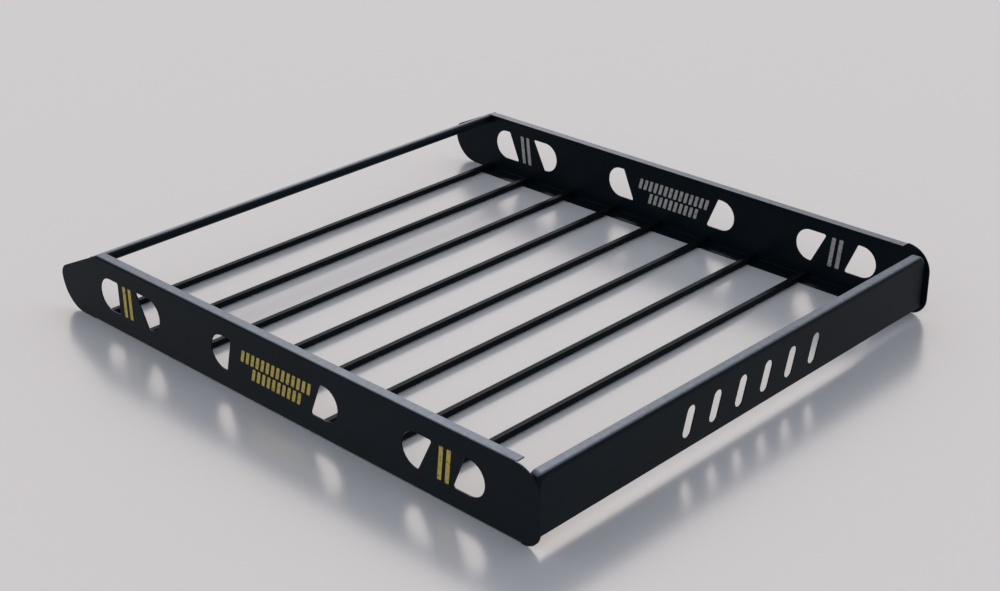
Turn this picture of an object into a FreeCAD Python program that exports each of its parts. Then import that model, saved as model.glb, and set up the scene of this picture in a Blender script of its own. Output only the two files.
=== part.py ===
import FreeCAD, Part
import os
import Sketcher

# Roof rack of folded black sheet steel: two side plates with cut-outs, a front panel between them,
# a round rear rail and square cross slats on the plates' bottom flanges.
# X runs across the vehicle, the front panel faces -Y, Z is up and the flanges' underside is Z = 0.

doc = FreeCAD.newDocument("roof_rack")
sheet = doc.addObject("Spreadsheet::Sheet", "sizes")

SIZES = {
    # whole rack
    "rack_length": 1400,
    "rack_width": 1200,
    "side_height": 155,
    "sheet_thickness": 2.5,
    "fold_radius": 2,
    # side plate outline
    "top_corner_inset": 140,
    "tip_height": 86,
    "tip_overshoot": 5.5,
    "heel_inset": 16,
    "tip_radius": 30,
    "heel_radius": 70,
    "brow_radius": 56,
    "toe_radius": 40,
    "top_flange_width": 22,
    "bottom_flange_width": 40,
    "bottom_flange_rear_inset": 112,
    "bottom_flange_front_inset": 44,
    # cut-outs: half circle on one side, leaning straight edge on the other
    "hole_radius": 36.5,
    "hole_corner_radius": 4,
    "hole_height": 78,
    "hole_field_shift": 9,
    "inner_hole_offset": 151,
    "middle_hole_offset": 394,
    "outer_hole_offset": 527,
    "reach_long": 42,
    "reach_even": 29,
    "reach_short": 11,
    "reach_tip": 5,
    # front panel
    "panel_setback": 9,
    "panel_bottom": 24,
    "panel_drop": 13,
    "panel_flange_depth": 24,
    "panel_fold_radius": 9,
    "panel_corner_radius": 22,
    "slot_radius": 12,
    "slot_rise": 38,
    "slot_lean": 12,
    "slot_pitch": 78,
    "slot_row_height": 78,
    # rear rail
    "rail_diameter": 22,
    "rail_rear_inset": 126,
    "rail_drop": 18,
    # cross slats
    "slat_size": 13,
    "slat_pitch": 139,
    "slat_rear_inset": 121.5,
}
SLAT_COUNT = 8
SLOT_COUNT = 6

for row, (alias, number) in enumerate(SIZES.items(), start=1):
    sheet.set("A%d" % row, alias)
    sheet.set("B%d" % row, str(number))
    sheet.setAlias("B%d" % row, alias)
doc.recompute()


def term(*parts):
    """Sum of factor * size as (number for the first drawing, expression that drives it)."""
    number = 0.0
    text = []
    for factor, alias in parts:
        number += factor * float(sheet.get(alias))
        text.append("(%s) * sizes.%s" % (factor, alias))
    return number, " + ".join(text) or "0"


def plane(body, role):
    return [f for f in body.Origin.OriginFeatures if f.Role == role][0]


def new_sketch(body, role, name):
    sketch = body.newObject("Sketcher::SketchObject", name)
    sketch.AttachmentSupport = [(plane(body, role), "")]
    sketch.MapMode = "FlatFace"
    return sketch


def pin(sketch, geometry, point, across, up):
    """Ties one end of a line or arc to the sheet by its two coordinates."""
    for kind, (number, text) in (("DistanceX", across), ("DistanceY", up)):
        index = sketch.addConstraint(Sketcher.Constraint(kind, -1, 1, geometry, point, number))
        sketch.setExpression("Constraints[%d]" % index, text)


def add_polygon(sketch, corners):
    """Closed outline of straight lines through corners given as (across, up) terms."""
    first = sketch.GeometryCount
    count = len(corners)
    for i in range(count):
        start = corners[i]
        end = corners[(i + 1) % count]
        a = FreeCAD.Vector(start[0][0], start[1][0], 0)
        b = FreeCAD.Vector(end[0][0], end[1][0], 0)
        sketch.addGeometry(Part.LineSegment(a, b), False)
    for i in range(count):
        following = first + (i + 1) % count
        sketch.addConstraint(Sketcher.Constraint("Coincident", first + i, 2, following, 1))
    for i in range(count):
        pin(sketch, first + i, 1, corners[i][0], corners[i][1])


def pad(body, sketch, name, length, reverse=False):
    feature = body.newObject("PartDesign::Pad", name)
    feature.Profile = sketch
    feature.setExpression("Length", length)
    feature.Reversed = reverse
    sketch.Visibility = False
    doc.recompute()
    return feature


def through_pocket(body, sketch, name):
    feature = body.newObject("PartDesign::Pocket", name)
    feature.Profile = sketch
    feature.Type = "ThroughAll"
    feature.Midplane = True
    sketch.Visibility = False
    doc.recompute()
    return feature


def edges_along(shape, axis, **place):
    """Names of the straight edges parallel to axis whose other two coordinates are the given ones."""
    names = []
    for i, edge in enumerate(shape.Edges, start=1):
        a, b = edge.Vertexes[0].Point, edge.Vertexes[-1].Point
        near = all(abs(getattr(p, key) - place[key]) < 0.01 for p in (a, b) for key in place)
        if near and abs(getattr(a, axis) - getattr(b, axis)) > 0.01:
            names.append("Edge%d" % i)
    return names


def fillet(body, base, name, edges, radius):
    feature = body.newObject("PartDesign::Fillet", name)
    feature.Base = (base, edges)
    feature.setExpression("Radius", radius)
    doc.recompute()
    return feature


# Side plates: web with rounded ends and six cut-outs, folded in at top and bottom.
def add_cutout(sketch, side, offset, top_reach, bottom_reach):
    """One D-shaped hole: round towards the plate's end (side +1 rear, -1 front) or its middle."""
    centre = ((offset[0], offset[1]), (-1, "hole_field_shift"))
    low = term((1, "hole_height"), (-1, "hole_radius"))
    high = term((1, "hole_height"), (1, "hole_radius"))
    middle = term(*centre)
    top = term(*centre, (-side, top_reach))
    bottom = term(*centre, (-side, bottom_reach))
    radius = float(sheet.get("hole_radius"))
    height = float(sheet.get("hole_height"))
    points = [FreeCAD.Vector(p[0], q[0], 0) for p, q in
              ((middle, low), (bottom, low), (top, high), (middle, high))]
    crown = FreeCAD.Vector(middle[0] + side * radius, height, 0)
    first = sketch.GeometryCount
    for a, b in zip(points, points[1:]):
        sketch.addGeometry(Part.LineSegment(a, b), False)
    sketch.addGeometry(Part.Arc(points[3], crown, points[0]), False)
    arc = first + 3
    from_low = 1 if (sketch.getPoint(arc, 1) - points[0]).Length < 0.01 else 2
    for i in range(2):
        sketch.addConstraint(Sketcher.Constraint("Coincident", first + i, 2, first + i + 1, 1))
    sketch.addConstraint(Sketcher.Constraint("Coincident", arc, from_low, first, 1))
    sketch.addConstraint(Sketcher.Constraint("Coincident", arc, 3 - from_low, first + 2, 2))
    pin(sketch, first, 1, middle, low)
    pin(sketch, first + 1, 1, bottom, low)
    pin(sketch, first + 2, 1, top, high)
    pin(sketch, first + 2, 2, middle, high)
    index = sketch.addConstraint(Sketcher.Constraint("DistanceX", -1, 1, arc, 3, middle[0]))
    sketch.setExpression("Constraints[%d]" % index, middle[1])
    return [(bottom, low), (top, high)]


def add_fold_corner(sketch, outer, toward, height, upward):
    """Corner left outside a fold: from its sharp outer edge to the arc of the bent sheet."""
    bend = ("sheet_thickness", "fold_radius")
    in_by = tuple((toward, alias) for alias in bend)
    down_by = tuple((-upward, alias) for alias in bend)
    corner = (term(*outer), term(*height))
    on_flange = (term(*outer, *in_by), term(*height))
    on_web = (term(*outer), term(*height, *down_by))
    centre = (on_flange[0], on_web[1])
    radius = abs(on_flange[0][0] - corner[0][0])
    points = [FreeCAD.Vector(p[0][0], p[1][0], 0) for p in (on_web, corner, on_flange, centre)]
    outward = (points[1] - points[3]).normalize()
    first = sketch.GeometryCount
    sketch.addGeometry(Part.LineSegment(points[0], points[1]), False)
    sketch.addGeometry(Part.LineSegment(points[1], points[2]), False)
    sketch.addGeometry(Part.Arc(points[2], points[3] + outward * radius, points[0]), False)
    arc = first + 2
    from_flange = 1 if (sketch.getPoint(arc, 1) - points[2]).Length < 0.01 else 2
    sketch.addConstraint(Sketcher.Constraint("Coincident", first, 2, first + 1, 1))
    sketch.addConstraint(Sketcher.Constraint("Coincident", arc, from_flange, first + 1, 2))
    sketch.addConstraint(Sketcher.Constraint("Coincident", arc, 3 - from_flange, first, 1))
    pin(sketch, first, 1, *on_web)
    pin(sketch, first + 1, 1, *corner)
    pin(sketch, first + 1, 2, *on_flange)
    index = sketch.addConstraint(Sketcher.Constraint("DistanceX", -1, 1, arc, 3, centre[0][0]))
    sketch.setExpression("Constraints[%d]" % index, centre[0][1])


def make_side_plate(label, inward, cutouts):
    """Plate whose web stands on local X 0..thickness and whose flanges turn to inward (+1 or -1)."""
    body = doc.addObject("PartDesign::Body", label)
    body.Label = label

    # web outline, corners first sharp and then rounded
    rear_top = (term((0.5, "rack_length"), (-1, "top_corner_inset")), term((1, "side_height")))
    tip = (term((0.5, "rack_length"), (1, "tip_overshoot")), term((1, "tip_height")))
    ground = term()
    heel = (term((0.5, "rack_length"), (-1, "heel_inset")), ground)
    toe = (term((-0.5, "rack_length")), ground)
    brow = (term((-0.5, "rack_length")), term((1, "side_height")))
    outline = new_sketch(body, "YZ_Plane", label + "_outline")
    add_polygon(outline, [toe, heel, tip, rear_top, brow])
    base = pad(body, outline, label + "_web", "sizes.sheet_thickness")
    for corner, radius in ((tip, "tip_radius"), (heel, "heel_radius"),
                           (brow, "brow_radius"), (toe, "toe_radius")):
        edges = edges_along(base.Shape, "x", y=corner[0][0], z=corner[1][0])
        base = fillet(body, base, label + "_" + radius, edges, "sizes." + radius)

    # cut-outs, the two corners of each straight edge eased
    holes = new_sketch(body, "YZ_Plane", label + "_cutout_outlines")
    corners = []
    for cutout in cutouts:
        corners += add_cutout(holes, *cutout)
    base = through_pocket(body, holes, label + "_cutouts")
    edges = []
    for across, up in corners:
        edges += edges_along(base.Shape, "x", y=across[0], z=up[0])
    fillet(body, base, label + "_cutout_corners", edges, "sizes.hole_corner_radius")

    # flanges: strips that reach inward from the web's outer face, bent with the sheet's fold radius
    outer = () if inward > 0 else ((1, "sheet_thickness"),)
    inner = ((1, "sheet_thickness"),) if inward > 0 else ()
    strips = (
        ("top", 1, ((1, "side_height"),), ((-0.5, "rack_length"), (1, "brow_radius")),
         ((0.5, "rack_length"), (-1, "top_corner_inset"))),
        ("bottom", -1, (), ((-0.5, "rack_length"), (1, "bottom_flange_front_inset")),
         ((0.5, "rack_length"), (-1, "bottom_flange_rear_inset"))),
    )
    for side, upward, height, front, rear in strips:
        name = "%s_%s" % (label, side)
        edge = term(*outer)
        lip = term(*outer, (inward, side + "_flange_width"))
        strip = new_sketch(body, "XY_Plane", name + "_strip")
        strip.setExpression("AttachmentOffset.Base.z", term(*height)[1])
        front_end = term(*front)
        rear_end = term(*rear)
        add_polygon(strip, [(edge, front_end), (lip, front_end), (lip, rear_end), (edge, rear_end)])
        base = pad(body, strip, name + "_flange", "sizes.sheet_thickness", reverse=upward > 0)

        inside = term(*height, (-upward, "sheet_thickness"))
        edges = edges_along(base.Shape, "y", x=term(*inner)[0], z=inside[0])
        fillet(body, base, name + "_fold_inside", edges, "sizes.fold_radius")
        bend = new_sketch(body, "XZ_Plane", name + "_fold_corner")
        middle = term(*((-0.5 * k, alias) for k, alias in front + rear))
        bend.setExpression("AttachmentOffset.Base.z", middle[1])
        add_fold_corner(bend, outer, inward, height, upward)
        fold = body.newObject("PartDesign::Pocket", name + "_fold_outside")
        fold.Profile = bend
        fold.Midplane = True
        length = term(*((-k, alias) for k, alias in front), *rear)
        fold.setExpression("Length", length[1])
        bend.Visibility = False
        doc.recompute()
    return body


# round side, centre from the field's middle, reach of the straight edge at its top and at its foot
LEFT_CUTOUTS = [
    (1, (1, "outer_hole_offset"), "reach_even", "reach_even"),
    (-1, (1, "middle_hole_offset"), "reach_long", "reach_tip"),
    (1, (1, "inner_hole_offset"), "reach_even", "reach_short"),
    (-1, (-1, "inner_hole_offset"), "reach_short", "reach_long"),
    (1, (-1, "middle_hole_offset"), "reach_long", "reach_tip"),
    (-1, (-1, "outer_hole_offset"), "reach_short", "reach_long"),
]
RIGHT_CUTOUTS = [
    (1, (1, "outer_hole_offset"), "reach_short", "reach_long"),
    (-1, (1, "middle_hole_offset"), "reach_long", "reach_tip"),
    (1, (1, "inner_hole_offset"), "reach_short", "reach_long"),
] + LEFT_CUTOUTS[3:]

left_plate = make_side_plate("side_plate_left", 1, LEFT_CUTOUTS)
left_plate.setExpression("Placement.Base.x", "-sizes.rack_width / 2")
right_plate = make_side_plate("side_plate_right", -1, RIGHT_CUTOUTS)
right_plate.setExpression("Placement.Base.x", "sizes.rack_width / 2 - sizes.sheet_thickness")


# Front panel: pressed sheet with its top and both ends turned back over rounded folds, and a row of
# slanted slots. It stands between the side plates, its ends against their inner faces.
panel = doc.addObject("PartDesign::Body", "front_panel")
panel.Label = "front_panel"
face = term((-0.5, "rack_length"), (1, "panel_setback"))
back = term((-0.5, "rack_length"), (1, "panel_setback"), (1, "panel_flange_depth"))
left_end = term((-0.5, "rack_width"), (1, "sheet_thickness"))
right_end = term((0.5, "rack_width"), (-1, "sheet_thickness"))
foot = term((1, "panel_bottom"))
crest = term((1, "side_height"), (-1, "panel_drop"))
front_view = new_sketch(panel, "XZ_Plane", "panel_outline")
front_view.setExpression("AttachmentOffset.Base.z", term((0.5, "rack_length"), (-1, "panel_setback"))[1])
add_polygon(front_view, [(left_end, foot), (right_end, foot), (right_end, crest), (left_end, crest)])
block = pad(panel, front_view, "panel_block", "sizes.panel_flange_depth", reverse=True)
edges = [name for end in (left_end, right_end)
         for name in edges_along(block.Shape, "y", x=end[0], z=crest[0])]
block = fillet(panel, block, "panel_corners", edges, "sizes.panel_corner_radius")
rim = edges_along(block.Shape, "x", y=face[0], z=crest[0])
block = fillet(panel, block, "panel_folds", rim, "sizes.panel_fold_radius")
open_faces = []
for i, side in enumerate(block.Shape.Faces, start=1):
    box = side.BoundBox
    if box.YMin > back[0] - 0.01 or box.ZMax < foot[0] + 0.01:
        open_faces.append("Face%d" % i)
shell = panel.newObject("PartDesign::Thickness", "panel_sheet")
shell.Base = (block, open_faces)
shell.setExpression("Value", "sizes.sheet_thickness")
shell.Reversed = True
doc.recompute()

# first slot of the row: two leaning lines between half circles, repeated along the panel
slot = new_sketch(panel, "XZ_Plane", "slot_outline")
start = term((0.5 - SLOT_COUNT / 2, "slot_pitch"), (-0.5, "slot_lean"))
end = term((0.5 - SLOT_COUNT / 2, "slot_pitch"), (0.5, "slot_lean"))
low = term((1, "slot_row_height"), (-0.5, "slot_rise"))
high = term((1, "slot_row_height"), (0.5, "slot_rise"))
lower = FreeCAD.Vector(start[0], low[0], 0)
upper = FreeCAD.Vector(end[0], high[0], 0)
along = (upper - lower).normalize()
reach = float(sheet.get("slot_radius"))
aside = FreeCAD.Vector(along.y, -along.x, 0) * reach
slot.addGeometry(Part.LineSegment(lower + aside, upper + aside), False)
slot.addGeometry(Part.Arc(upper + aside, upper + along * reach, upper - aside), False)
slot.addGeometry(Part.LineSegment(upper - aside, lower - aside), False)
slot.addGeometry(Part.Arc(lower - aside, lower - along * reach, lower + aside), False)
for line, arc, line_end in ((0, 1, 2), (2, 1, 1), (2, 3, 2), (0, 3, 1)):
    tip = slot.getPoint(line, line_end)
    arc_end = 1 if (slot.getPoint(arc, 1) - tip).Length < 0.01 else 2
    slot.addConstraint(Sketcher.Constraint("Tangent", line, line_end, arc, arc_end))
pin(slot, 1, 3, end, high)
pin(slot, 3, 3, start, low)
index = slot.addConstraint(Sketcher.Constraint("Radius", 1, reach))
slot.setExpression("Constraints[%d]" % index, "sizes.slot_radius")
first_slot = through_pocket(panel, slot, "first_slot")
slot_row = panel.newObject("PartDesign::LinearPattern", "slot_row")
slot_row.Originals = [first_slot]
slot_row.Direction = (slot, ["H_Axis"])
slot_row.Occurrences = SLOT_COUNT
slot_row.setExpression("Length", "sizes.slot_pitch * %d" % (SLOT_COUNT - 1))
panel.Tip = slot_row
doc.recompute()


# Rear rail: round bar square to the plates, welded to their inner faces below the sloped rear edge.
rail = doc.addObject("Part::Cylinder", "rear_rail")
rail.Label = "rear_rail"
rail.setExpression("Radius", "sizes.rail_diameter / 2")
rail.setExpression("Height", "sizes.rack_width - 2 * sizes.sheet_thickness")
rail.Placement = FreeCAD.Placement(FreeCAD.Vector(0, 0, 0), FreeCAD.Rotation(FreeCAD.Vector(0, 1, 0), 90))
rail.setExpression("Placement.Base.x", "sizes.sheet_thickness - sizes.rack_width / 2")
rail.setExpression("Placement.Base.y", "sizes.rack_length / 2 - sizes.rail_rear_inset")
rail.setExpression("Placement.Base.z", "sizes.side_height - sizes.rail_drop")


# Cross slats: square bars resting on both bottom flanges, cut to clear the folds beside the webs.
slat_list = []
for i in range(SLAT_COUNT):
    name = "slat_%d" % (i + 1)
    slat = doc.addObject("Part::Box", name)
    slat.Label = name
    slat.setExpression("Length", "sizes.rack_width - 2 * (sizes.sheet_thickness + sizes.fold_radius)")
    slat.setExpression("Width", "sizes.slat_size")
    slat.setExpression("Height", "sizes.slat_size")
    slat.setExpression("Placement.Base.x", "sizes.sheet_thickness + sizes.fold_radius - sizes.rack_width / 2")
    rear = "sizes.rack_length / 2 - sizes.slat_rear_inset - sizes.slat_size"
    slat.setExpression("Placement.Base.y", rear + " - %d * sizes.slat_pitch" % i)
    slat.setExpression("Placement.Base.z", "sizes.sheet_thickness")
    slat_list.append(slat)

doc.recompute()

pieces = [left_plate, right_plate, panel, rail] + slat_list
for item in doc.Objects:
    if "Invalid" in item.State or "Error" in item.State:
        raise RuntimeError("not built: " + item.Name)
os.makedirs("parts", exist_ok=True)
for piece in pieces:
    if piece.Shape.isNull() or not piece.Shape.isValid():
        raise RuntimeError("bad shape: " + piece.Label)
    piece.Shape.exportStep("parts/%s.step" % piece.Label)
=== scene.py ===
import math
import bpy
from mathutils import Matrix, Vector


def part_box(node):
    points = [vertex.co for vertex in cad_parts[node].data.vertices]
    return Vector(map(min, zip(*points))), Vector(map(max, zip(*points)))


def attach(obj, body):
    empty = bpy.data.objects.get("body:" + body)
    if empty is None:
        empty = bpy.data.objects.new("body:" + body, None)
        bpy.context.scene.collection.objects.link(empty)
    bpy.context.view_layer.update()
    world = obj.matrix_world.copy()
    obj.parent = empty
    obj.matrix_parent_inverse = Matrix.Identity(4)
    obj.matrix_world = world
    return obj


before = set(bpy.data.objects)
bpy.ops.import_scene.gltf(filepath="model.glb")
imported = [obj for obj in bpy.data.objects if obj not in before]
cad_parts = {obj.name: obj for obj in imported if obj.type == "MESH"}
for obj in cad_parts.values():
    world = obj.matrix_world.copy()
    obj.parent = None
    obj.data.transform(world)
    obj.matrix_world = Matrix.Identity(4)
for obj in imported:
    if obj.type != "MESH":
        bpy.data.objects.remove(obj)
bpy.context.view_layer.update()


# Side plates: 2.5 mm sheet steel, laser cut with six D-shaped holes and folded in at top and bottom.
# The coat is black powder, sprayed and baked: a satin skin with orange peel, cloudy gloss over a
# hand's width, and on the open top edges a thin grey film, partly dust and partly a painted sheen.
def linear(code):
    """sRGB hex code such as 1c1d1f to linear RGBA."""
    out = []
    for i in (0, 2, 4):
        c = int(code[i:i + 2], 16) / 255
        out.append(c / 12.92 if c <= 0.04045 else ((c + 0.055) / 1.055) ** 2.4)
    return out + [1.0]


def add_node(tree, kind, settings=None, links=None):
    """Adds a shader node, sets its properties and inputs, and links its inputs to other outputs."""
    node = tree.nodes.new(kind)
    for name, value in (settings or {}).items():
        if hasattr(node, str(name)):
            setattr(node, name, value)
        else:
            node.inputs[name].default_value = value
    for name, source in (links or {}).items():
        tree.links.new(source, node.inputs[name])
    return node


def new_material(name):
    """New material with an empty node tree."""
    material = bpy.data.materials.new(name)
    material.use_nodes = True
    material.node_tree.nodes.clear()
    return material, material.node_tree


def per_metre(size_mm):
    """Noise scale at which one blob of the pattern is about size_mm across."""
    return 1000.0 / size_mm


def give(piece, material):
    """Makes the material the only one on the piece."""
    piece.data.materials.clear()
    piece.data.materials.append(material)


def ease_edges(piece, name, width, segments):
    """Rounds the sharp edges of a CAD piece in its modifiers; its mesh stays as it is."""
    weld = piece.modifiers.new("joined_faces", "WELD")
    weld.merge_threshold = SEAM_GAP
    edge = piece.modifiers.new(name, "BEVEL")
    edge.width = width
    edge.segments = segments
    edge.limit_method = "ANGLE"
    edge.angle_limit = SHARP_ANGLE
    edge.harden_normals = True


SEAM_GAP, SHARP_ANGLE = 0.00002, math.radians(50)
CUT_EDGE, CUT_EDGE_STEPS = 0.0004, 2
# places of the two colours and of the result among the Mix node's sockets
COLOUR_A, COLOUR_B, COLOUR_OUT = 6, 7, 2
# the real peel is about 1 mm; drawn at 2.5 mm so that it shows
PEEL_MM, PEEL_DEPTH = 2.5, 0.0002
COAT_IOR = 1.5
COAT_SHINE_TINT = linear("c6e4ff")
coat, tree = new_material("satin_black_powder_coat")
place = add_node(tree, "ShaderNodeTexCoord")
on_piece = {"Vector": place.outputs["Object"]}
cloud = add_node(tree, "ShaderNodeTexNoise",
                 {"Scale": per_metre(140), "Detail": 3.0, "Roughness": 0.55}, on_piece)
peel = add_node(tree, "ShaderNodeTexNoise", {"Scale": per_metre(PEEL_MM), "Detail": 1.0}, on_piece)
specks = add_node(tree, "ShaderNodeTexNoise",
                  {"Scale": per_metre(9), "Detail": 4.0, "Roughness": 0.7}, on_piece)
facing = add_node(tree, "ShaderNodeNewGeometry")
upward = add_node(tree, "ShaderNodeSeparateXYZ", None, {"Vector": facing.outputs["Normal"]})
height = add_node(tree, "ShaderNodeSeparateXYZ", None, on_piece)
# grey, partly dust and partly a painted sheen, on faces that look up, kept to the top of the rack
# where the light falls on them; it thins out in specks
upward_dust_and_sheen = add_node(tree, "ShaderNodeMapRange", {"From Min": 0.75, "From Max": 1.0, "To Max": 0.72},
                   {"Value": upward.outputs["Z"]})
top_only_dust_and_sheen = add_node(tree, "ShaderNodeMapRange", {"From Min": 0.06, "From Max": 0.12},
                    {"Value": height.outputs["Z"]})
patches = add_node(tree, "ShaderNodeMapRange", {"From Min": 0.3, "From Max": 0.7, "To Min": 0.6},
                   {"Value": specks.outputs["Fac"]})
upward_top_dust_and_sheen = add_node(tree, "ShaderNodeMath", {"operation": "MULTIPLY"},
                 {0: upward_dust_and_sheen.outputs["Result"], 1: top_only_dust_and_sheen.outputs["Result"]})
dust_and_sheen = add_node(tree, "ShaderNodeMath", {"operation": "MULTIPLY"},
                 {0: upward_top_dust_and_sheen.outputs["Value"], 1: patches.outputs["Result"]})
tint = add_node(tree, "ShaderNodeValToRGB", None, {"Fac": cloud.outputs["Fac"]})
tint.color_ramp.elements[0].position = 0.3
tint.color_ramp.elements[0].color = linear("060d12")
tint.color_ramp.elements[1].position = 0.7
tint.color_ramp.elements[1].color = linear("0b1319")
# painted sheen and grey dust: the upward top faces are mixed toward light grey
skin_colour = add_node(tree, "ShaderNodeMix", {"data_type": "RGBA", COLOUR_B: linear("84878c")},
                       {"Factor": dust_and_sheen.outputs["Value"], COLOUR_A: tint.outputs["Color"]})
gloss = add_node(tree, "ShaderNodeMapRange", {"To Min": 0.38, "To Max": 0.46},
                 {"Value": cloud.outputs["Fac"]})
bump = add_node(tree, "ShaderNodeBump", {"Strength": 0.14, "Distance": PEEL_DEPTH},
                {"Height": peel.outputs["Fac"]})
skin = add_node(tree, "ShaderNodeBsdfPrincipled",
                {"IOR": COAT_IOR, "Specular IOR Level": 0.085, "Specular Tint": COAT_SHINE_TINT},
                {"Base Color": skin_colour.outputs[COLOUR_OUT], "Roughness": gloss.outputs["Result"],
                 "Normal": bump.outputs["Normal"]})
add_node(tree, "ShaderNodeOutputMaterial", None, {"Surface": skin.outputs["BSDF"]})
for plate in ("side_plate_left", "side_plate_right"):
    give(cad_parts[plate], coat)
    ease_edges(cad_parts[plate], "cut_edge", CUT_EDGE, CUT_EDGE_STEPS)


# Front panel: one pressed sheet with its top and ends turned back, slotted, in the same coat.
# It stands between the plates, and short welds hold its end flanges to them.
give(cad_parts["front_panel"], coat)
ease_edges(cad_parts["front_panel"], "cut_edge", CUT_EDGE, CUT_EDGE_STEPS)


def bare_start():
    """Leaves edit mode and selects nothing, so that an operator acts on the new piece only."""
    if bpy.context.object and bpy.context.object.mode != "OBJECT":
        bpy.ops.object.mode_set(mode="OBJECT")
    bpy.ops.object.select_all(action="DESELECT")


def pick(piece, kind, test):
    """Selects in edit mode the vertices (VERT) or the edges (EDGE) whose points pass the test."""
    bpy.ops.object.mode_set(mode="EDIT")
    bpy.ops.mesh.select_mode(type=kind)
    bpy.ops.mesh.select_all(action="DESELECT")
    bpy.ops.object.mode_set(mode="OBJECT")
    mesh = piece.data
    if kind == "VERT":
        for vertex in mesh.vertices:
            vertex.select = test(vertex.co)
    else:
        for edge in mesh.edges:
            edge.select = test(*(mesh.vertices[i].co for i in edge.vertices))
    bpy.ops.object.mode_set(mode="EDIT")


def set_copies(source, places, name):
    """Copies a modelled piece to each place, joins the copies into one piece and removes the source."""
    bare_start()
    copies = []
    for matrix in places:
        copy = source.copy()
        copy.data = source.data.copy()
        copy.data.transform(matrix)
        bpy.context.scene.collection.objects.link(copy)
        copy.select_set(True)
        copies.append(copy)
    bpy.context.view_layer.objects.active = copies[0]
    bpy.ops.object.join()
    bpy.data.objects.remove(source)
    copies[0].name = name
    return copies[0]


def coat_weld(weld):
    """Leaves edit mode, smooths the ripples of a weld and coats it with the rest."""
    bpy.ops.object.mode_set(mode="OBJECT")
    bpy.ops.object.shade_smooth_by_angle(angle=RIPPLE_ANGLE)
    give(weld, coat)


def weld_bead(length):
    """Straight bead along X about the origin: a round bar with ripples and drawn-in ends."""
    bare_start()
    bpy.ops.mesh.primitive_cylinder_add(vertices=BEAD_SIDES, radius=BEAD_RADIUS, depth=length,
                                        rotation=(0, math.pi / 2, 0))
    bead = bpy.context.object
    bpy.ops.object.transform_apply(location=True, rotation=True, scale=True)
    rings = int(length / BEAD_RIPPLE) * 2
    step = length / rings
    pick(bead, "EDGE", lambda a, b: abs(a.x - b.x) > length / 2)
    bpy.ops.mesh.subdivide(number_cuts=rings - 1)
    for i in range(1, rings, 2):
        at = -length / 2 + i * step
        pick(bead, "VERT", lambda p: abs(p.x - at) < step / 4)
        bpy.ops.transform.resize(value=(1.0, BEAD_SWELL, BEAD_SWELL), center_override=(at, 0, 0))
    for end in (-1, 1):
        tip = end * length / 2
        pick(bead, "VERT", lambda p: p.x * end > length / 2 - step / 4)
        bpy.ops.transform.resize(value=(1.0, BEAD_TAPER, BEAD_TAPER), center_override=(tip, 0, 0))
    coat_weld(bead)
    return bead


BEAD_RADIUS, BEAD_SIDES, BEAD_RIPPLE = 0.0021, 10, 0.0028
BEAD_SWELL, BEAD_TAPER = 1.22, 0.45
RIPPLE_ANGLE = math.radians(60)
STITCH_LENGTH = 0.022
STITCH_HEIGHTS = (0.018, 0.052, 0.086)
STITCH_INSET = 0.0006
low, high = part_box("front_panel")
stitch = weld_bead(STITCH_LENGTH)
stand_up = Matrix.Rotation(math.pi / 2, 4, "Y")
stitch_places = [Matrix.Translation((x, high.y, low.z + z)) @ stand_up
                 for x in (low.x + STITCH_INSET, high.x - STITCH_INSET) for z in STITCH_HEIGHTS]
panel_welds = set_copies(stitch, stitch_places, "panel_welds")
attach(panel_welds, "root")


# Rear rail: 22 mm round steel tube across the rear, coated with the rest. A weld joins each end to
# the plate's inner face, left open at the top under the plate's sloped edge.
RING_RADIUS, RING_RIPPLES, RING_SWELL = 0.0112, 26, 1.2
RING_TOP = 0.0075
RING_INSET = 0.0008
# how far from a ripple's middle, and how far off its section as an area, a point still belongs to it
RIPPLE_REACH, SECTION_SLACK = 0.00212, 2e-7
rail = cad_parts["rear_rail"]
give(rail, coat)
low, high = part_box("rear_rail")
axis_y, axis_z = (low.y + high.y) / 2, (low.z + high.z) / 2
bare_start()
bpy.ops.mesh.primitive_torus_add(major_radius=RING_RADIUS, minor_radius=BEAD_RADIUS,
                                 major_segments=RING_RIPPLES * 2, minor_segments=BEAD_SIDES,
                                 rotation=(0, math.pi / 2, 0))
ring = bpy.context.object
bpy.ops.object.transform_apply(location=True, rotation=True, scale=True)
for i in range(RING_RIPPLES):
    turn = (2 * i + 1) * math.pi / RING_RIPPLES
    middle = Vector((0.0, math.sin(turn), -math.cos(turn))) * RING_RADIUS
    pick(ring, "VERT", lambda p: ((p - middle).length < RIPPLE_REACH
                                  and abs(p.cross(middle).x) < SECTION_SLACK))
    bpy.ops.transform.resize(value=(RING_SWELL, RING_SWELL, RING_SWELL), center_override=middle)
bpy.ops.mesh.select_all(action="SELECT")
bpy.ops.mesh.bisect(plane_co=(0.0, 0.0, RING_TOP), plane_no=(0.0, 0.0, 1.0),
                    clear_outer=True, use_fill=True)
coat_weld(ring)
ring_places = [Matrix.Translation((x, axis_y, axis_z))
               for x in (low.x + RING_INSET, high.x - RING_INSET)]
rail_welds = set_copies(ring, ring_places, "rail_welds")
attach(rail_welds, "root")


# Cross slats: 13 mm square steel tube with rolled corners, black too but flatter, because thin tube
# takes less powder. Luggage slides on them, so they carry fine scuffs along their length.
ROLLED_CORNER, ROLLED_CORNER_STEPS = 0.0015, 3
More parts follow.
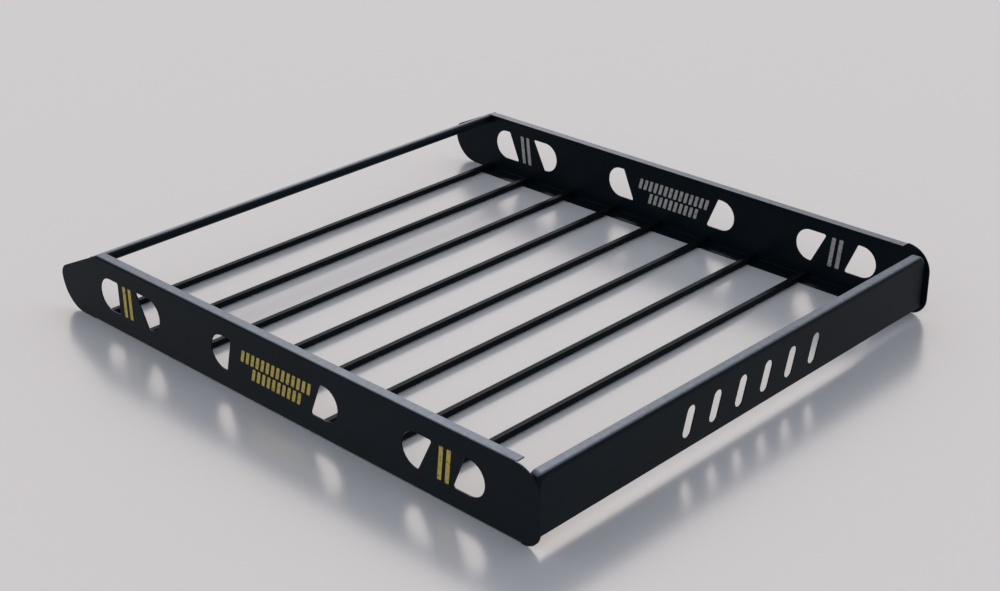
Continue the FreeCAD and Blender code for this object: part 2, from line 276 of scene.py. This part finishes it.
# scuffs are 3 mm wide and drawn out along the slat to about 50 mm
SCUFF_MM, SCUFF_STRETCH = 3, 0.06
bar_coat, tree = new_material("flat_black_powder_coat")
place = add_node(tree, "ShaderNodeTexCoord")
on_piece = {"Vector": place.outputs["Object"]}
cloud = add_node(tree, "ShaderNodeTexNoise", {"Scale": per_metre(80), "Detail": 3.0}, on_piece)
peel = add_node(tree, "ShaderNodeTexNoise", {"Scale": per_metre(PEEL_MM), "Detail": 1.0}, on_piece)
stretch = add_node(tree, "ShaderNodeMapping", {"Scale": (SCUFF_STRETCH, 1.0, 1.0)}, on_piece)
scuff = add_node(tree, "ShaderNodeTexNoise",
                 {"Scale": per_metre(SCUFF_MM), "Detail": 2.0, "Roughness": 0.6},
                 {"Vector": stretch.outputs["Vector"]})
scuffed = add_node(tree, "ShaderNodeMapRange", {"From Min": 0.56, "From Max": 0.74, "To Max": 0.6},
                   {"Value": scuff.outputs["Fac"]})
tint = add_node(tree, "ShaderNodeValToRGB", None, {"Fac": cloud.outputs["Fac"]})
tint.color_ramp.elements[0].color = linear("04080b")
tint.color_ramp.elements[1].color = linear("090e12")
bar_colour = add_node(tree, "ShaderNodeMix", {"data_type": "RGBA", COLOUR_B: linear("12171b")},
                      {"Factor": scuffed.outputs["Result"], COLOUR_A: tint.outputs["Color"]})
gloss = add_node(tree, "ShaderNodeMapRange", {"To Min": 0.54, "To Max": 0.64},
                 {"Value": cloud.outputs["Fac"]})
bump = add_node(tree, "ShaderNodeBump", {"Strength": 0.12, "Distance": PEEL_DEPTH},
                {"Height": peel.outputs["Fac"]})
skin = add_node(tree, "ShaderNodeBsdfPrincipled",
                {"IOR": COAT_IOR, "Specular IOR Level": 0.065, "Specular Tint": COAT_SHINE_TINT},
                {"Base Color": bar_colour.outputs[COLOUR_OUT], "Roughness": gloss.outputs["Result"],
                 "Normal": bump.outputs["Normal"]})
add_node(tree, "ShaderNodeOutputMaterial", None, {"Surface": skin.outputs["BSDF"]})
slats = sorted(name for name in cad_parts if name.startswith("slat_"))
for name in slats:
    give(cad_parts[name], bar_coat)
    ease_edges(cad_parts[name], "rolled_corner", ROLLED_CORNER, ROLLED_CORNER_STEPS)

# a bead on each side of each slat where it lies on the flange
BEAD_LENGTH = 0.028
BEAD_FROM_END, BEAD_OUT, BEAD_UP = 0.018, 0.0004, 0.0006
bead = weld_bead(BEAD_LENGTH)
bead_places = []
for name in slats:
    low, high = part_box(name)
    for x in (low.x + BEAD_FROM_END, high.x - BEAD_FROM_END):
        for y in (low.y - BEAD_OUT, high.y + BEAD_OUT):
            bead_places.append(Matrix.Translation((x, y, low.z + BEAD_UP)))
slat_welds = set_copies(bead, bead_places, "slat_welds")
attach(slat_welds, "root")


# Painted bars: screen-printed ink on both faces of each plate, gold outside and pale grey inside.
# Two rows of short slanted bars in the middle, and between the two holes near each end a pair of
# tall bars that stand upright or nearly so.
def ink(name, code, worn_code):
    """Matt ink, rubbed darker in small patches."""
    material, tree = new_material(name)
    place = add_node(tree, "ShaderNodeTexCoord")
    rub = add_node(tree, "ShaderNodeTexNoise",
                   {"Scale": per_metre(6), "Detail": 4.0, "Roughness": 0.65},
                   {"Vector": place.outputs["Object"]})
    worn = add_node(tree, "ShaderNodeMapRange", {"From Min": 0.52, "From Max": 0.66},
                    {"Value": rub.outputs["Fac"]})
    colour = add_node(tree, "ShaderNodeMix",
                      {"data_type": "RGBA", COLOUR_A: linear(code), COLOUR_B: linear(worn_code)},
                      {"Factor": worn.outputs["Result"]})
    matt = add_node(tree, "ShaderNodeMapRange", {"To Min": 0.5, "To Max": 0.68},
                    {"Value": rub.outputs["Fac"]})
    skin = add_node(tree, "ShaderNodeBsdfPrincipled", {"IOR": 1.5, "Specular IOR Level": 0.35},
                    {"Base Color": colour.outputs[COLOUR_OUT], "Roughness": matt.outputs["Result"]})
    add_node(tree, "ShaderNodeOutputMaterial", None, {"Surface": skin.outputs["BSDF"]})
    return material


def ink_bar(width, height, lean, material):
    """Bar of ink film in the plane X = 0, its top shifted by lean along Y, corners rounded."""
    bare_start()
    bpy.ops.mesh.primitive_cube_add(size=1.0, scale=(INK_FILM, width, height))
    bar = bpy.context.object
    bpy.ops.object.transform_apply(location=True, rotation=True, scale=True)
    pick(bar, "VERT", lambda p: p.z > 0)
    bpy.ops.transform.translate(value=(0.0, lean, 0.0))
    pick(bar, "EDGE", lambda a, b: abs(a.x - b.x) > INK_FILM / 2)
    bpy.ops.mesh.bevel(offset=INK_CORNER, segments=3)
    bpy.ops.object.mode_set(mode="OBJECT")
    give(bar, material)
    return bar


# half of the film's thickness lies in the sheet
INK_FILM, INK_CORNER = 0.0003, 0.0018
SHEET = 0.0025
# height of each row's middle, and how many bars it has
ROWS = ((0.092, 14), (0.061, 10))
ROW_HEIGHT, ROW_MIDDLE = 0.026, -0.016
BAR_PITCH, BAR_WIDTH, BAR_LEAN = 0.0150, 0.0088, 0.007
PAIR_HEIGHT, PAIR_WIDTH, PAIR_PITCH, PAIR_MIDDLE = 0.070, 0.010, 0.019, 0.078
# each pair's middle along the plate, and its lean
LEFT_PAIRS = ((0.458, 0.0), (-0.474, -0.008))
RIGHT_PAIRS = ((0.452, 0.008), (-0.470, -0.008))
gold_ink = ink("gold_screen_ink", "b3a04a", "5f5526")
grey_ink = ink("grey_screen_ink", "a3a09a", "63615d")
left_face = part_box("side_plate_left")[0].x
right_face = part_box("side_plate_right")[1].x
sides = (
    ("left_outer", left_face, gold_ink, -1, LEFT_PAIRS),
    ("left_inner", left_face + SHEET, grey_ink, 1, LEFT_PAIRS),
    ("right_inner", right_face - SHEET, grey_ink, -1, RIGHT_PAIRS),
    ("right_outer", right_face, gold_ink, 1, RIGHT_PAIRS),
)
for side, face, material, outward, pairs in sides:
    # the slanted bars lean forward as read, so the lean turns with the side that faces the reader
    dash = ink_bar(BAR_WIDTH, ROW_HEIGHT, BAR_LEAN * outward, material)
    places = []
    for height, count in ROWS:
        for i in range(count):
            along = ROW_MIDDLE + (i - (count - 1) / 2) * BAR_PITCH
            places.append(Matrix.Translation((face, along, height)))
    rows = set_copies(dash, places, "ink_rows_" + side)
    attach(rows, "root")
    for number, (middle, lean) in enumerate(pairs, start=1):
        upright = ink_bar(PAIR_WIDTH, PAIR_HEIGHT, lean, material)
        places = []
        for k in (-1, 1):
            along = middle - lean / 2 + k * PAIR_PITCH / 2
            places.append(Matrix.Translation((face, along, PAIR_MIDDLE)))
        pair = set_copies(upright, places, "ink_pair_%s_%d" % (side, number))
        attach(pair, "root")


# Floor: a pale studio floor, polished, which the rack stands on. It mirrors the rack softly, so the
# dark plates and their holes show again below them.
FLOOR_SIZE, FLOOR_GAP = 40.0, 0.0002
bare_start()
bpy.ops.mesh.primitive_plane_add(size=FLOOR_SIZE)
floor = bpy.context.object
floor.name = "studio_floor"
floor.location.z = -FLOOR_GAP
polish, tree = new_material("polished_pale_resin")
skin = add_node(tree, "ShaderNodeBsdfPrincipled",
                {"Base Color": linear("e9e6e2"), "Metallic": 0.45, "Roughness": 0.23,
                 "Specular IOR Level": 0.0})
add_node(tree, "ShaderNodeOutputMaterial", None, {"Surface": skin.outputs["BSDF"]})
give(floor, polish)


# Light: a large soft key behind the rack, kept off the floor so that no hard shadow crosses the
# mirror image, and an even, slightly blue room, which gives the floor its soft shadow. Sight lines
# and reflections see a pale backdrop.
KEY_HEIGHT, KEY_SPREAD = math.radians(38), math.radians(13)
KEY_STRENGTH = 1.98
KEY_HEADING = (-0.68, -0.733)
key_data = bpy.data.lights.new("key", "SUN")
key_data.energy = KEY_STRENGTH
key_data.angle = KEY_SPREAD
key_data.color = linear("f8f7f8")[:3]
key = bpy.data.objects.new("key", key_data)
bpy.context.scene.collection.objects.link(key)
travel = Vector((*KEY_HEADING, -math.tan(KEY_HEIGHT)))
key.matrix_world = travel.to_track_quat("-Z", "Y").to_matrix().to_4x4()
spared = bpy.data.collections.new("spared_by_key")
spared.objects.link(floor)
spared.collection_objects[0].light_linking.link_state = "EXCLUDE"
key.light_linking.receiver_collection = spared
room = bpy.data.worlds.new("studio_room")
bpy.context.scene.world = room
room.use_nodes = True
tree = room.node_tree
tree.nodes.clear()
ray = add_node(tree, "ShaderNodeLightPath")
sight = add_node(tree, "ShaderNodeMath", {"operation": "MAXIMUM"},
                 {0: ray.outputs["Is Camera Ray"], 1: ray.outputs["Is Glossy Ray"]})
seen = add_node(tree, "ShaderNodeMath", {"operation": "MAXIMUM"},
                {0: sight.outputs["Value"], 1: ray.outputs["Is Transmission Ray"]})
air = add_node(tree, "ShaderNodeBackground", {"Color": linear("e4ecff"), "Strength": 0.80})
backdrop = add_node(tree, "ShaderNodeBackground", {"Color": linear("f7eee7"), "Strength": 1.0})
both = add_node(tree, "ShaderNodeMixShader", None,
                {"Fac": seen.outputs["Value"], 1: air.outputs["Background"],
                 2: backdrop.outputs["Background"]})
add_node(tree, "ShaderNodeOutputWorld", None, {"Surface": both.outputs["Shader"]})


# Camera: at the photograph's angle, fitted to the rack's straight edges. Its place is in metres, and
# its lens follows from the focal length in pixels of the photograph.
VIEW_PLACE = (-2.3464, -2.3069, 1.6223)
VIEW_AZ, VIEW_EL, VIEW_ROLL = math.radians(-45.874), math.radians(25.768), math.radians(-0.605)
FOCAL_PIXELS, IMAGE_WIDTH, SENSOR_MM = 1711.0, 1000, 36
camera_data = bpy.data.cameras.new("photo_view")
camera_data.lens = FOCAL_PIXELS / IMAGE_WIDTH * SENSOR_MM
camera = bpy.data.objects.new("photo_view", camera_data)
bpy.context.scene.collection.objects.link(camera)
camera.matrix_world = (Matrix.Translation(VIEW_PLACE)
                       @ Matrix.Rotation(VIEW_AZ, 4, "Z") @ Matrix.Rotation(math.pi / 2 - VIEW_EL, 4, "X")
                       @ Matrix.Rotation(VIEW_ROLL, 4, "Z"))
bpy.context.scene.camera = camera
bpy.context.scene.view_settings.view_transform = "Standard"
